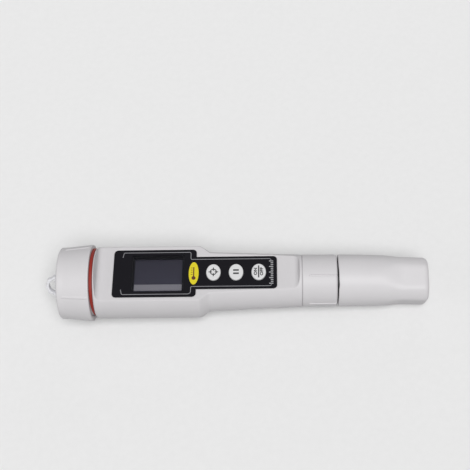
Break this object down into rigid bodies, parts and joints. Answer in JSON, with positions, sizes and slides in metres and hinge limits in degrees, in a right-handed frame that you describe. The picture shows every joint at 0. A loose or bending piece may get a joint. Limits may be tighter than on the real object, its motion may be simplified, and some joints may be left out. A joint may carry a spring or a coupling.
{
  "type": "pen type salinity meter",
  "caption": "Pen-shaped water salinity meter with a stepped display panel, oval keys, a flared screw battery cap with a lanyard loop, a probe collar and a pull-off protective cap.",
  "frame": {"origin": "middle of the bounding box, at its lowest level: below the pen's axis, level with the lowest point of the battery cap's rim", "axes": "+X along the pen towards the protective cap over the probe, +Z out of the display face, -Y towards the side with the lower edge of the display"},
  "size_m": [0.1904, 0.0382, 0.0383],
  "materials": {
    "white_abs": "moulded light grey-white ABS, soft satin",
    "loop_nylon": "white nylon, half gloss",
    "red_rubber": "red-brown silicone",
    "black_rubber": "black rubber",
    "panel_film": "black printed polycarbonate film, glossy",
    "window_clear": "clear polycarbonate",
    "key_rubber": "white silicone, printed legend",
    "black_abs": "black ABS",
    "lcd_glass": "grey liquid crystal glass with rear polariser",
    "zebra_rubber": "striped silicone",
    "board_green": "green solder resist on glass epoxy",
    "switch_black": "black nylon",
    "chip_black": "moulded epoxy",
    "capacitor_sleeve": "dark sleeve",
    "screw_steel": "zinc plated steel",
    "holder_black": "black ABS",
    "cell_steel": "nickel plated steel can",
    "contact_nickel": "nickel plated spring strip",
    "spring_steel": "nickel plated spring wire",
    "lead_pvc": "PVC insulation",
    "socket_nylon": "black nylon",
    "probe_black": "black ABS",
    "pin_gold": "gold plated brass",
    "electrode_steel": "polished stainless steel",
    "sensor_steel": "polished stainless steel"
  },
  "bodies": {
    "meter_body": {"housing": "white_abs", "panel_overlay": "panel_film", "display_window": "window_clear", "lcd_bezel": "black_abs", "lcd_glass": "lcd_glass", "zebra_strips": "zebra_rubber", "circuit_board": "board_green", "tact_switches": "switch_black", "board_chips": "chip_black", "board_capacitors": "capacitor_sleeve", "chassis": "black_abs", "board_screws": "screw_steel", "battery_holder": "holder_black", "button_cells": "cell_steel", "battery_contacts": "contact_nickel", "battery_spring": "spring_steel", "battery_leads": "lead_pvc", "probe_socket": "socket_nylon"},
    "seal_ring": {"cap_seal": "red_rubber"},
    "battery_cap": {"battery_cap": "white_abs", "lanyard_loop": "loop_nylon"},
    "probe": {"probe_body": "probe_black", "probe_pins": "pin_gold", "sensing_pins": "electrode_steel", "temperature_sensor": "sensor_steel", "collar_seal": "black_rubber", "probe_seal": "black_rubber"},
    "collar": {"collar": "white_abs"},
    "protective_cap": {"protective_cap": "white_abs"},
    "key_cal": {"key_cal": "key_rubber"},
    "key_hold": {"key_hold": "key_rubber"},
    "key_power": {"key_power": "key_rubber"}
  },
  "joints": [
    {"name": "battery_cap_turn", "type": "hinge", "parent": "meter_body", "child": "seal_ring", "pos_m": [-0.07, 0, 0.01915], "axis": [-1, 0, 0], "range_deg": [0, 1081]},
    {"name": "battery_cap_lift", "type": "slide", "parent": "seal_ring", "child": "battery_cap", "axis": [-1, 0, 0], "range_m": [0, 0.009]},
    {"name": "probe_draw", "type": "slide", "parent": "meter_body", "child": "probe", "axis": [1, 0, 0], "range_m": [0, 0.009]},
    {"name": "collar_turn", "type": "hinge", "parent": "probe", "child": "collar", "pos_m": [0.042, 0, 0.01915], "axis": [1, 0, 0], "range_deg": [0, 1081]},
    {"name": "protective_cap_pull", "type": "slide", "parent": "probe", "child": "protective_cap", "axis": [1, 0, 0], "range_m": [0, 0.036]},
    {"name": "key_cal_press", "type": "slide", "parent": "meter_body", "child": "key_cal", "axis": [0, 0, -1], "range_m": [0, 0.0004], "stiffness_N_per_m": 2500},
    {"name": "key_hold_press", "type": "slide", "parent": "meter_body", "child": "key_hold", "axis": [0, 0, -1], "range_m": [0, 0.0004], "stiffness_N_per_m": 2500},
    {"name": "key_power_press", "type": "slide", "parent": "meter_body", "child": "key_power", "axis": [0, 0, -1], "range_m": [0, 0.0004], "stiffness_N_per_m": 2500}
  ],
  "couplings": [
    {"joint": "battery_cap_turn", "follows": "battery_cap_lift", "rad_per_m": 2094.4},
    {"joint": "collar_turn", "follows": "probe_draw", "rad_per_m": 2094.4}
  ]
}
